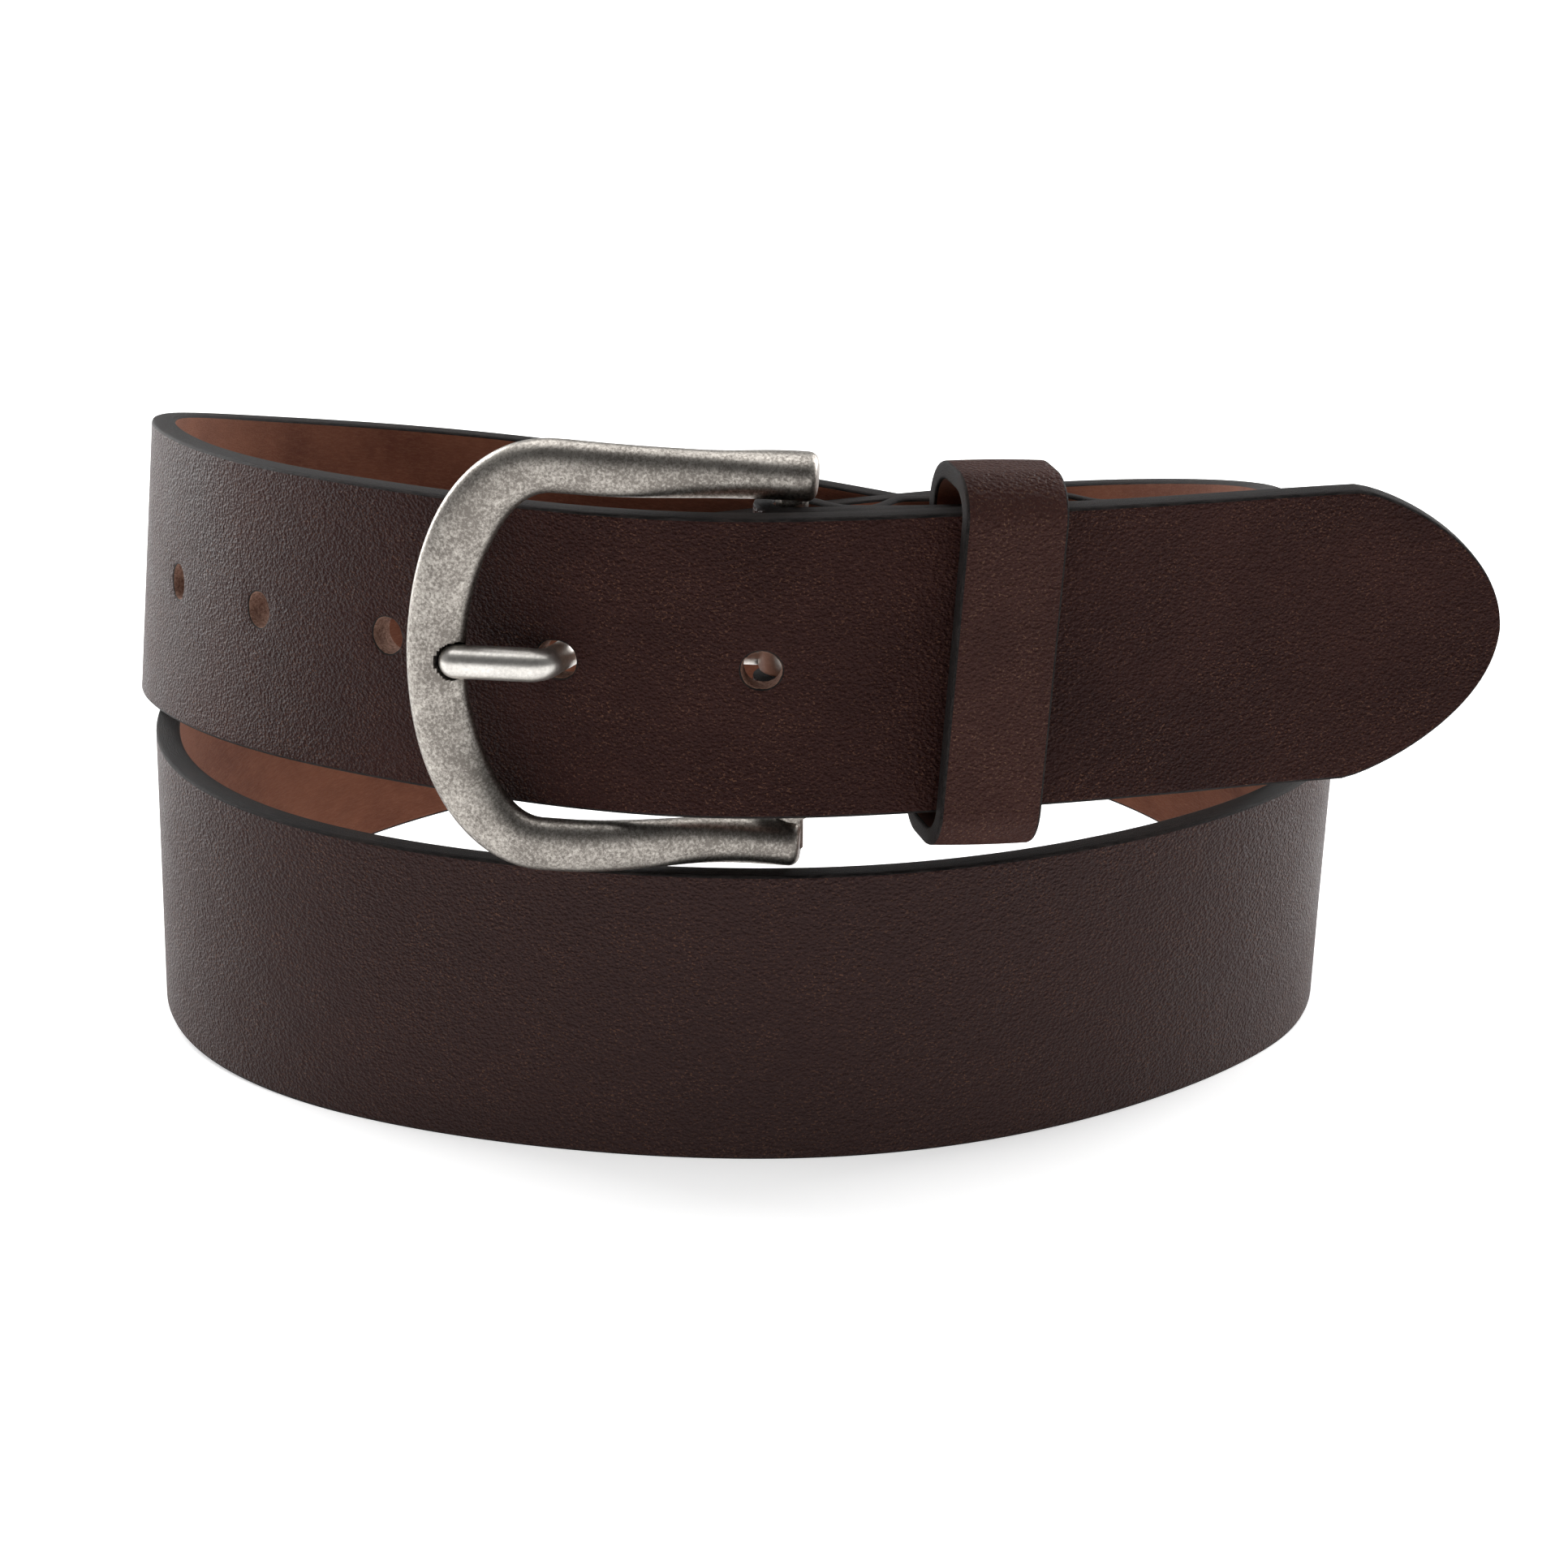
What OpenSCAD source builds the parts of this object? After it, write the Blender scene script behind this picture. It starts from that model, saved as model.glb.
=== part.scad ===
// Leather waist belt, buckled at its fourth hole and coiled into two turns.
// Origin: on the surface it stands on, under the centre of the belt's box. +Z up,
// the buckle faces -Y, the pointed tip points to +X. Millimetres.

/* [Strap] */
// Width of the strap
strap_w = 38.1; // [36:0.1:39]
// Thickness of the strap leather
strap_t = 3.2; // [2.8:0.1:3.4]
// Bevel along the strap's four edges
strap_bevel = 0.4; // [0.2:0.1:0.8]
// Diameter of the punched holes
hole_d = 4.6; // [4.4:0.1:5]
// Distance between two holes
hole_pitch = 25.4; // [24:0.1:27]
// Distance from the last hole to the tip
last_hole = 95.25; // [93:0.05:97]
// Length of the pointed part of the tip
tip_len = 19.6; // [15:0.1:25]
// How quickly the pointed part widens
tip_power = 1.33; // [1.1:0.01:1.8]

/* [Fold and turn-back] */
// Thickness of the leather where it folds round the heel bar
fold_t = 2.4; // [2:0.1:2.6]
// Thickness of the skived turn-back
tab_t = 2; // [1.6:0.1:2.2]
// Height of the turn-back, a little less than the strap
tab_w = 37; // [34:0.5:38]
// Length of the turn-back from the heel bar
tab_len = 43.5; // [43:0.1:46]
// Width of the slot that the prong swings in
slot_w = 6; // [5.6:0.1:8]
// Length of that slot on each side of the heel bar
slot_len = 7; // [6:0.5:7]

/* [Buckle] */
// Outer height of the rim
rim_h = 55.2; // [54:0.1:56]
// Inner height of the frame between the arms
inner_h = 40.9; // [40:0.1:41]
// Length from the heel bar to the outside of the rim
rim_reach = 46.9; // [46:0.1:48]
// Width of the rim at its middle
rim_w = 7.3; // [7:0.1:8]
// Depth of the rim, front to back
rim_depth = 4.4; // [4:0.1:5]
// Depth of the arms at the heel bar
heel_depth = 6.4; // [5.6:0.1:6.4]
// How far the arms run past the heel bar
arm_tail = 2.2; // [2:0.1:3]
// Diameter of the heel bar
bar_d = 4; // [3.8:0.1:4]
// Angle between the frame and the strap at the fold
frame_yaw = 8; // [7:0.5:9]
// How far the arms' ends sit below the middle of the strap
frame_drop = 1.1; // [0.5:0.1:1.1]
// Roll of the frame: the rim sits this many degrees higher than the arms' ends
frame_roll = 2.4; // [2:0.1:2.6]

/* [Prong] */
// Diameter of the prong's round body
prong_d = 4.2; // [4:0.1:4.2]
// Diameter of the neck that passes through the strap
neck_d = 3.6; // [3.4:0.1:3.6]
// Radial clearance of the prong's loop on the heel bar
prong_fit = 0.07; // [0.03:0.01:0.1]
// Width of the prong's loop
loop_w = 4.8; // [4.4:0.1:5]

/* [Keeper] */
// Width of the keeper
keeper_w = 13; // [12:0.5:14]
// Thickness of the keeper leather
keeper_t = 2.2; // [2:0.1:2.4]
// Lean of the keeper along the strap, in degrees
keeper_tilt = 3; // [0:0.5:3]
// Radius of the keeper's rounded corners, measured outside
keeper_r = 5.6; // [5:0.1:6.6]

/* [Stitching] */
// Diameter of the waxed thread
thread_d = 0.8; // [0.6:0.1:0.8]
// Distance between two stitches
stitch_pitch = 4; // [3.5:0.5:4.5]
// Number of stitches in a row
stitches = 7; // [5:1:7]

/* [Hidden] */
// Route of the strap's middle line along its lower edge, from the heel bar,
// round the coil twice and out to the tip: x, y, height, outward lean in degrees
route = [
    [1, -64, 46.5, 4], [14.5, -63.5, 46.5, 5], [31, -58.5, 46, 5.5],
    [52, -51, 45, 5], [61.5, -37, 43, 3.5], [63.5, -11, 37, 1.5],
    [66.5, 28.5, 30.5, -0.5], [41, 61.5, 24, -2], [-2, 70.5, 18, -2],
    [-49, 62, 14, -1.5], [-80, 37, 7.5, -0.5], [-87, -1, 1.5, 0.5],
    [-70, -35, 0, 1.5], [-37.5, -56, 0, 3.5], [2, -64, 0, 4],
    [34.5, -51, 0, 5], [61, -23.5, 0, 8], [73.5, 3, 0, 3.5],
    [70.5, 32.5, 6.5, -0.5], [55, 57, 14.5, -2.5], [18.5, 73, 19.5, -3],
    [-38.5, 74.5, 28.5, -3], [-77.5, 53, 35, -3], [-93, 26.5, 41, -5],
    [-77, -20, 44, -1.5], [-49.5, -49, 46, 2], [-14, -69.5, 46, 3.5],
    [17.5, -67.5, 47, 4.5], [44, -58.5, 46.5, 5.5], [65, -48, 46, 6],
    [89, -44.5, 46.5, 6.5]
];

// Colours
grain = [0.17, 0.09, 0.08];
flesh = [0.36, 0.2, 0.13];
nickel = [0.6, 0.58, 0.54];
thread = [0.12, 0.07, 0.06];

// Numbers shared by the strap's pieces
last = len(route) - 1;
spans = 8;
half_t = strap_t / 2;
half_w = strap_w / 2;
cut = 12;
fine = 0.01;

// How far the lower turn's edge has flattened on the surface it stands on
settle = 0.2;

// Route of the strap: a uniform cubic B-spline through the padded route
padded = concat([2 * route[0] - route[1]], route, [2 * route[last] - route[last - 1]]);
function blend(f) = [
    pow(1 - f, 3) / 6,
    (3 * pow(f, 3) - 6 * pow(f, 2) + 4) / 6,
    (-3 * pow(f, 3) + 3 * pow(f, 2) + 3 * f + 1) / 6,
    pow(f, 3) / 6
];
function route_at(t) =
    let (k = max(0, min(last - 1, floor(t))), b = blend(t - k))
    b[0] * padded[k] + b[1] * padded[k + 1] + b[2] * padded[k + 2] + b[3] * padded[k + 3];

// Length of strap used up at each step of the route, from the heel bar
function place(p) = [p[0], p[1], p[2]];
function step_len(i) = i == 0 ? 0 : norm(place(route_at(i / spans)) - place(route_at((i - 1) / spans)));
lengths = [
    for (i = 0, s = 0; i <= last * spans; i = i + 1, s = s + step_len(i)) [s, i / spans]
];
strap_len = lengths[last * spans][0];
function t_of(s) = lookup(s, lengths);

// The strap's own axes at a length s from the heel bar
function heading(s) =
    let (t = t_of(s), q = route_at(t + fine) - route_at(t - fine)) atan2(q[1], q[0]);
function lean(s) = route_at(t_of(s))[3];
function along(s) = [cos(heading(s)), sin(heading(s)), 0];
function outward(s) =
    let (h = heading(s), a = lean(s)) [sin(h) * cos(a), -cos(h) * cos(a), -sin(a)];
function upward(s) =
    let (h = heading(s), a = lean(s)) [sin(h) * sin(a), -cos(h) * sin(a), cos(a)];
function foot(s) =
    let (p = route_at(t_of(s))) [p[0], p[1], p[2] + half_t * abs(sin(p[3])) - settle];

// Puts children on the strap: x runs along it, y into the coil, z up across it
module on_strap(s) {
    translate(foot(s)) rotate([lean(s), 0, heading(s)]) children();
}

// A ring of eight points across the leather, between two offsets and two heights
function ring(s, inner, outer, low, high) =
    let (c = min(strap_bevel, (high - low) / 4, (outer - inner) / 4),
         b = foot(s), n = outward(s), u = upward(s))
    [
        for (p = [
            [outer, low + c], [outer, high - c], [outer - c, high], [inner + c, high],
            [inner, high - c], [inner, low + c], [inner + c, low], [outer - c, low]
        ]) b + p[0] * n + p[1] * u
    ];

// Closes a row of rings into a solid
module skin(rings) {
    n = len(rings[0]);
    m = len(rings);
    sides = [
        for (i = [0:m - 2], j = [0:n - 1])
            let (a = i * n + j, b = i * n + (j + 1) % n) each [[a, b, b + n], [a, b + n, a + n]]
    ];
    start = [for (j = [0:n - 1]) n - 1 - j];
    end = [for (j = [0:n - 1]) (m - 1) * n + j];
    polyhedron([for (r = rings) each r], concat([start], sides, [end]), convexity = 8);
}

// Lengths at which rings stand between two lengths of strap
step = 5;
function stations(s0, s1) =
    let (n = ceil((s1 - s0) / step)) [for (i = [0:n]) s0 + (s1 - s0) * i / n];

// The strap thins towards the fold on its flesh side
skive_len = 10;
function flesh_side(s) = -half_t + (strap_t - fold_t) * max(0, 1 - s / skive_len);

// Half the strap's height at a distance d from the tip
function half_height(d) =
    d >= tip_len ? half_w : half_w * sqrt(1 - pow(1 - d / tip_len, tip_power));

module stretch(s0, s1) {
    skin([for (s = stations(s0, s1)) ring(s, flesh_side(s), half_t, 0, strap_w)]);
}

// Hole positions, counted from the buckle end
holes = [for (i = [0:4]) strap_len - last_hole - hole_pitch * (4 - i)];
prong_hole = 3;

module punch(s) {
    on_strap(s) translate([0, 0, half_w]) rotate([90, 0, 0])
        cylinder(h = cut, d = hole_d, center = true, $fn = 48);
}

module holed_stretch(i) {
    color(grain) difference() {
        stretch(holes[i] - hole_pitch / 2, holes[i] + hole_pitch / 2);
        punch(holes[i]);
    }
}

// Bounds between the strap's stretches
end_1 = 46;
end_2 = 150;
end_3 = 300;
end_4 = 400;
end_5 = 520;
end_6 = 620;
end_7 = 740;
first_hole_start = holes[0] - hole_pitch / 2;
last_hole_end = holes[4] + hole_pitch / 2;

// Living hinge of the tip, just past the keeper
hinge_s = 953.5;
hinge_gap = 0.35;

// Stitch rows
row_1 = 8.5;
row_2 = 41;
row_low = half_w - stitch_pitch * stitches / 2;

// Offset of the turn-back's middle from the strap's middle
bar_back = 3.15;
tab_near = half_t + 0.1 + tab_t / 2;
tab_far = 6.7;
function ease(f) = let (c = max(0, min(1, f))) c * c * (3 - 2 * c);
function tab_offset(s) =
    s < 10 ? tab_far + (tab_near - tab_far) * ease((s - 1) / 6)
    : s < 30 ? tab_near + (tab_far - tab_near) * ease((s - 9.2) / 5)
    : tab_far + (tab_near - tab_far) * ease((s - 34.4) / 5);
function tab_half(s) = (fold_t + (tab_t - fold_t) * ease(s / 8)) / 2;
tab_low = half_w - tab_w / 2;

// Openings for one row of stitches, in the main ply and in the turn-back
module stitch_cut(s, front, back) {
    on_strap(s) {
        for (i = [0:stitches]) translate([0, 0, row_low + i * stitch_pitch])
            rotate([90, 0, 0]) cylinder(h = cut, d = thread_d + 0.1, center = true, $fn = 24);
        for (y = [front, back]) translate([-thread_d * 0.6, y - thread_d * 1.2, row_low - thread_d])
            cube([thread_d * 1.2, thread_d * 2.4, stitches * stitch_pitch + 2 * thread_d]);
    }
}

module stitch_row(s, front, back) {
    color(thread) on_strap(s) {
        for (i = [0:stitches]) translate([0, back, row_low + i * stitch_pitch])
            rotate([90, 0, 0]) cylinder(h = back - front, d = thread_d, $fn = 24);
        for (y = [front, back]) translate([0, y, row_low - thread_d / 2])
            cylinder(h = stitches * stitch_pitch + thread_d, d = thread_d, $fn = 24);
    }
}
stitch_front = -half_t + thread_d * 0.55;
stitch_back = tab_near + tab_t / 2 - thread_d * 0.55;

// Slot for the prong, seen along the strap, from the fold to slot_len
module prong_slot() {
    on_strap(0) translate([0, 0, half_w]) rotate([90, 0, 0]) {
        translate([-cut, -slot_w / 2, -cut]) cube([cut + slot_len - slot_w / 2, slot_w, 2 * cut]);
        translate([slot_len - slot_w / 2, 0, 0])
            cylinder(h = 2 * cut, d = slot_w, center = true, $fn = 48);
    }
}

module strap_buckle_end() {
    color(grain) difference() {
        stretch(0, end_1);
        prong_slot();
        stitch_cut(row_1, -half_t, cut);
        stitch_cut(row_2, -half_t, cut);
    }
}

// The leather that wraps the heel bar
fold_r = bar_d / 2 + 0.35;
module strap_fold() {
    color(grain) difference() {
        on_strap(0) translate([0, bar_back, 0]) difference() {
            cylinder(h = strap_w, r = fold_r + fold_t, $fn = 96);
            translate([0, 0, -1]) cylinder(h = strap_w + 2, r = fold_r, $fn = 96);
            translate([0, -cut, -1]) cube([cut, 2 * cut, strap_w + 2]);
        }
        prong_slot();
    }
}

module turn_back() {
    color(flesh) difference() {
        skin([
            for (s = [for (i = [0:29]) tab_len * i / 29])
                let (y = tab_offset(s), h = tab_half(s)) ring(s, -y - h, -y + h, tab_low, tab_low + tab_w)
        ]);
        prong_slot();
        stitch_cut(row_1, -cut, tab_near + tab_t / 2);
        stitch_cut(row_2, -cut, tab_near + tab_t / 2);
    }
}

// The buckle's own axes: x along it towards the tip, y back, z up, from the bar's middle
module on_buckle() {
    on_strap(0) translate([0, bar_back, half_w]) rotate([0, 0, -frame_yaw]) children();
}

// A point of the strap in the buckle's axes: along, forward, up
function from_bar(p) =
    let (
        v = p - (foot(0) - bar_back * outward(0) + half_w * upward(0)),
        a = v * along(0), w = v * outward(0)
    ) [
        a * cos(frame_yaw) + w * sin(frame_yaw), w * cos(frame_yaw) - a * sin(frame_yaw),
        v * upward(0)
    ];

// Middle line of the frame: along, up, with half its width and its depth
arm_z = inner_h / 2;
arm_h = 5.5;
bend_x = -29.3;
rim_x = rim_reach - rim_w / 2 + bend_x;
rim_z = 24.2;
function frame_forward(x) =
    x > -30 ? 0.3 + 5.7 * ease(-x / 26) : 6 - 1.3 * ease((-x - 30) / 14);
function frame_depth(x) = rim_depth + (heel_depth - rim_depth) * (1 - ease(-x / 12));
arm_flare = 0.25;
end_r = 1.3;
function flare(x) = arm_flare * ease((x + 12) / 12);
function arm_mid(x) =
    arm_z + arm_h / 2 + flare(x) + (rim_z - arm_z - arm_h / 2) * ease(-x / -bend_x);
function arm_half(x) =
    arm_h / 2 + flare(x) + (rim_w / 2 - 0.3 - arm_h / 2) * ease(-x / -bend_x);
function end_corner(d) = d >= end_r ? 0 : end_r - sqrt(pow(end_r, 2) - pow(end_r - d, 2));
arm_steps = 12;
rim_steps = 24;
arm_xs = [
    arm_tail, arm_tail - 0.2, arm_tail - 0.6,
    for (i = [0:arm_steps - 1]) arm_tail - end_r + (bend_x - arm_tail + end_r) * i / arm_steps
];
frame_line = concat(
    [for (x = arm_xs) [x, arm_mid(x), 90, arm_half(x)]],
    [for (i = [0:rim_steps]) let (a = 90 + 180 * i / rim_steps)
        [bend_x + rim_x * cos(a), rim_z * sin(a), a,
         rim_w / 2 - 0.3 * abs(sin(a)) + 0.5 * pow(sin(2 * a), 2)]],
    [for (i = [len(arm_xs) - 1:-1:0]) let (x = arm_xs[i]) [x, -arm_mid(x), 270, arm_half(x)]]
);

// Rounded cross-section of the frame at one point of its middle line
section_n = 16;
roundness = 0.92;
function soft(v) = sign(v) * pow(abs(v), roundness);
function frame_ring(p) =
    let (x = p[0], a = p[2], k = end_corner(arm_tail - x),
         d = frame_depth(x) / 2 - k, y = -frame_forward(x))
    [
        for (j = [0:section_n - 1]) let (b = -360 * j / section_n, r = (p[3] - k) * soft(cos(b)))
            [x + r * cos(a), y + d * soft(sin(b)), p[1] + r * sin(a)]
    ];

prong_end = -rim_reach + rim_w - 1;
prong_rest = 6.2;
notch_d = prong_d + 0.7;
tenon_d = 3;
tenon_len = 4;

module buckle_frame() {
    color(nickel) on_buckle() difference() {
        translate([0, 0, -frame_drop]) rotate([0, frame_roll, 0])
            skin([for (p = frame_line) frame_ring(p)]);
        translate([prong_end, -prong_rest, hole_mid[2]]) {
            sphere(d = notch_d, $fn = 48);
            rotate([0, 90, 0]) cylinder(h = rim_w, d = notch_d, $fn = 48);
            translate([0, -cut / 2, 0]) rotate([90, 0, 0])
                cylinder(h = cut, d = notch_d, center = true, $fn = 48);
        }
        translate([0, 0, -frame_drop])
            cylinder(h = inner_h + 2 * tenon_len, d = tenon_d, center = true, $fn = 48);
    }
}

module heel_bar() {
    color(nickel) on_buckle() translate([0, 0, -frame_drop]) {
        cylinder(h = inner_h - 0.4, d = bar_d, center = true, $fn = 64);
        cylinder(h = inner_h + 2 * tenon_len - 0.4, d = tenon_d, center = true, $fn = 48);
    }
}

// Prong: a loop on the bar, a shank behind the strap, a neck through it, a point in front
hole_mid = from_bar(foot(holes[prong_hole]) + half_w * upward(holes[prong_hole]));
neck_lean = 20;
neck = [-sin(neck_lean), cos(neck_lean), 0];
neck_back = hole_mid - 5.9 * neck;
neck_front = hole_mid + 4.3 * neck;
prong_tip = [prong_end, prong_rest, hole_mid[2]];
loop_r = bar_d / 2 + prong_fit;

// Middle line of the prong, with half its thickness: the two bends are rounded in three steps
bend = 1.3;
function toward(a, b, d) = a + d * (b - a) / norm(b - a);
prong_root = [-2, -1, 0];
prong_line = [
    [prong_root, prong_d / 2],
    [toward(neck_back, prong_root, 2 * bend), prong_d / 2],
    [toward(neck_back, prong_root, bend), prong_d / 2],
    [(toward(neck_back, prong_root, bend) + toward(neck_back, neck_front, bend)) / 2, prong_d / 2],
    [toward(neck_back, neck_front, bend), prong_d / 2 - 0.1],
    [toward(neck_back, neck_front, 2 * bend), neck_d / 2],
    [toward(neck_front, neck_back, 2 * bend), neck_d / 2],
    [toward(neck_front, neck_back, bend), prong_d / 2 - 0.1],
    [(toward(neck_front, neck_back, bend) + toward(neck_front, prong_tip, bend)) / 2, prong_d / 2],
    [toward(neck_front, prong_tip, bend), prong_d / 2],
    [toward(neck_front, prong_tip, 2 * bend), prong_d / 2],
    for (a = [0:15:75]) [toward(prong_tip, neck_front, -prong_d / 2 * sin(a)), prong_d / 2 * cos(a)]
];
prong_sides = 20;
function line_angle(k) =
    let (
        n = len(prong_line) - 1,
        v = prong_line[min(n, k + 1)][0] - prong_line[max(0, k - 1)][0]
    ) atan2(v[1], v[0]);
function prong_ring(k) =
    let (c = prong_line[k][0], r = prong_line[k][1], a = line_angle(k))
    [
        for (j = [0:prong_sides - 1]) let (b = 360 * j / prong_sides)
            [c[0] - r * cos(b) * sin(a), -c[1] - r * cos(b) * cos(a), c[2] + r * sin(b)]
    ];

module prong() {
    color(nickel) on_buckle() difference() {
        union() {
            cylinder(h = loop_w, r = bar_d / 2 + 2.1, center = true, $fn = 96);
            skin([for (k = [0:len(prong_line) - 1]) prong_ring(k)]);
        }
        cylinder(h = cut, r = loop_r, center = true, $fn = 96);
    }
}

// The prong's hole is drawn out along the strap by use
slack_tip = 0.5;
slack_far = 0.2;
module strap_prong_hole() {
    s = holes[prong_hole];
    color(grain) difference() {
        stretch(s - hole_pitch / 2, s + hole_pitch / 2);
        on_strap(s) translate([0, 0, half_w]) rotate([90, 0, 0]) {
            for (x = [-slack_far, slack_tip]) translate([x, 0, 0])
                cylinder(h = cut, d = hole_d, center = true, $fn = 48);
            translate([-slack_far, -hole_d / 2, -cut / 2]) cube([slack_far + slack_tip, hole_d, cut]);
        }
    }
}

module strap_under_keeper() {
    color(grain) difference() {
        stretch(last_hole_end, hinge_s);
        on_strap(hinge_s) translate([0, 0, -cut])
            cylinder(h = strap_w + 2 * cut, r = half_t + hinge_gap, $fn = 64);
    }
}

// The tip starts with a round edge in the hinge, then narrows to its point
nose_steps = 16;
nose_end = 0.02;
tip_stations = concat(
    stations(hinge_s, strap_len - tip_len),
    [for (i = [1:nose_steps]) strap_len - max(nose_end, tip_len * pow(1 - i / nose_steps, 2))]
);
module strap_tip() {
    color(grain) skin([
        for (a = [0:15:75]) let (d = half_t * cos(a), t = half_t * sin(max(a, 5)))
            ring(hinge_s - d, -t, t, 0, strap_w),
        for (s = tip_stations) let (h = half_height(strap_len - s))
            ring(s, -half_t, half_t, half_w - h, half_w + h)
    ]);
}

// The keeper: a band bent round the plies, its ends meeting behind and stapled
keeper_s = 22.7;
keeper_front = 6.2;
keeper_back = -8.7;
keeper_low = -3.6;
keeper_high = 43.8;
ply_pitch = strap_t + 0.35;
rest_w = 300;

module slab(x0, x1, z0, z1, r) {
    translate([x0 + r, z0]) square([x1 - x0 - 2 * r, z1 - z0]);
    translate([x0, z0 + r]) square([x1 - x0, z1 - z0 - 2 * r]);
    for (x = [x0 + r, x1 - r], z = [z0 + r, z1 - r]) translate([x, z]) circle(r = r, $fn = 64);
}

// Keeper axes: x along the strap, y back, z up; the tip ply's middle is ply_pitch in front
module on_keeper() {
    on_strap(keeper_s) translate([0, 0, half_w]) rotate([0, keeper_tilt, 0]) translate([0, 0, -half_w])
        children();
}

seam = 0.3;
crown_len = 8;
staple_d = 0.8;
back_y = ply_pitch + 1.05;
module keeper_loop() {
    color(grain) on_keeper() difference() {
        translate([-keeper_w / 2, -ply_pitch, 0]) rotate([90, 0, 90]) linear_extrude(keeper_w) difference() {
            slab(-keeper_front, -keeper_back, keeper_low, keeper_high, keeper_r);
            slab(-keeper_front + keeper_t, -keeper_back - keeper_t, keeper_low + keeper_t,
                keeper_high - keeper_t, keeper_r - keeper_t);
        }
        translate([-keeper_w, 0, half_w - seam / 2]) cube([2 * keeper_w, cut, seam]);
        staple_cut();
    }
}

staple_y = -keeper_back - ply_pitch - staple_d / 2;
module staple_cut() {
    translate([-staple_d / 2, staple_y - staple_d / 2, half_w - crown_len / 2 - staple_d / 2])
        cube([staple_d, cut, crown_len + staple_d]);
    for (z = [-crown_len / 2, crown_len / 2]) translate([0, staple_y, half_w + z]) rotate([90, 0, 0])
        cylinder(h = cut, d = staple_d, center = true, $fn = 24);
}

module keeper_staple() {
    color(nickel) on_keeper() translate([0, staple_y, half_w]) {
        cylinder(h = crown_len, d = staple_d - 0.1, center = true, $fn = 24);
        for (z = [-crown_len / 2, crown_len / 2]) translate([0, 0, z]) rotate([90, 0, 0])
            cylinder(h = keeper_t - staple_d / 2, d = staple_d - 0.1, $fn = 24);
    }
}

module plain_stretch(s0, s1) {
    color(grain) stretch(s0, s1);
}

// A stretch of the lower turn, flat where it stands
module standing_stretch(s0, s1) {
    color(grain) difference() {
        stretch(s0, s1);
        translate([-rest_w / 2, -rest_w / 2, -cut]) cube([rest_w, rest_w, cut]);
    }
}

strap_buckle_end();
plain_stretch(end_1, end_2);  // strap_upper_curl
plain_stretch(end_2, end_3);  // strap_inner_back
standing_stretch(end_3, end_4);  // strap_lower_left
standing_stretch(end_4, end_5);  // strap_lower_front
standing_stretch(end_5, end_6);  // strap_lower_right
plain_stretch(end_6, end_7);  // strap_outer_back
plain_stretch(end_7, first_hole_start);  // strap_upper_left
holed_stretch(0);  // strap_hole_1
holed_stretch(1);  // strap_hole_2
holed_stretch(2);  // strap_hole_3
strap_prong_hole();
holed_stretch(4);  // strap_hole_5
strap_under_keeper();
strap_tip();
strap_fold();
turn_back();
buckle_frame();
heel_bar();
prong();
keeper_loop();
keeper_staple();
stitch_row(row_1, stitch_front, stitch_back);  // bar_side_stitching
stitch_row(row_2, stitch_front, stitch_back);  // tab_end_stitching
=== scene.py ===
"""A leather waist belt, buckled and coiled into two turns: the looks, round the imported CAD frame."""

import math

import bmesh
import bpy
import numpy as np
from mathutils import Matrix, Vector


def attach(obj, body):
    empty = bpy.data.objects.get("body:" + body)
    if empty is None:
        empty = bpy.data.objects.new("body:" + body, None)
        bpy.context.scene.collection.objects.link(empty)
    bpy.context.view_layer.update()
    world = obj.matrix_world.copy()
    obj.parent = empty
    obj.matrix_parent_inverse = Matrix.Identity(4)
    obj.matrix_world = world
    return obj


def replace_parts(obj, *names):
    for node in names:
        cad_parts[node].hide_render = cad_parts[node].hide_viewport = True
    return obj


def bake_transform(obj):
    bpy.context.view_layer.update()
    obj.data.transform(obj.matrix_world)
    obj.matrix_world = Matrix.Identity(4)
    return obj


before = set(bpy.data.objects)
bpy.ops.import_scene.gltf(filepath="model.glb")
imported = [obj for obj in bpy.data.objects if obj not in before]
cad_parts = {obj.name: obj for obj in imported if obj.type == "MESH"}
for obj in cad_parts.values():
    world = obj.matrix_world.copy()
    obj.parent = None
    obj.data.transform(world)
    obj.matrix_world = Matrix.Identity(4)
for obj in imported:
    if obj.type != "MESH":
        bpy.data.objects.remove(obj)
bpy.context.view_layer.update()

MM = 0.001

# ---------------------------------------------------------------- the strap's route
# The same control points as part.scad: x, y, height in mm, outward lean in degrees.
ROUTE = np.array([
    [1, -64, 46.5, 4], [14.5, -63.5, 46.5, 5], [31, -58.5, 46, 5.5],
    [52, -51, 45, 5], [61.5, -37, 43, 3.5], [63.5, -11, 37, 1.5],
    [66.5, 28.5, 30.5, -0.5], [41, 61.5, 24, -2], [-2, 70.5, 18, -2],
    [-49, 62, 14, -1.5], [-80, 37, 7.5, -0.5], [-87, -1, 1.5, 0.5],
    [-70, -35, 0, 1.5], [-37.5, -56, 0, 3.5], [2, -64, 0, 4],
    [34.5, -51, 0, 5], [61, -23.5, 0, 8], [73.5, 3, 0, 3.5],
    [70.5, 32.5, 6.5, -0.5], [55, 57, 14.5, -2.5], [18.5, 73, 19.5, -3],
    [-38.5, 74.5, 28.5, -3], [-77.5, 53, 35, -3], [-93, 26.5, 41, -5],
    [-77, -20, 44, -1.5], [-49.5, -49, 46, 2], [-14, -69.5, 46, 3.5],
    [17.5, -67.5, 47, 4.5], [44, -58.5, 46.5, 5.5], [65, -48, 46, 6],
    [89, -44.5, 46.5, 6.5],
])
SPANS = len(ROUTE) - 1
PADDED = np.vstack([2 * ROUTE[0] - ROUTE[1], ROUTE, 2 * ROUTE[-1] - ROUTE[-2]])


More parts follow.
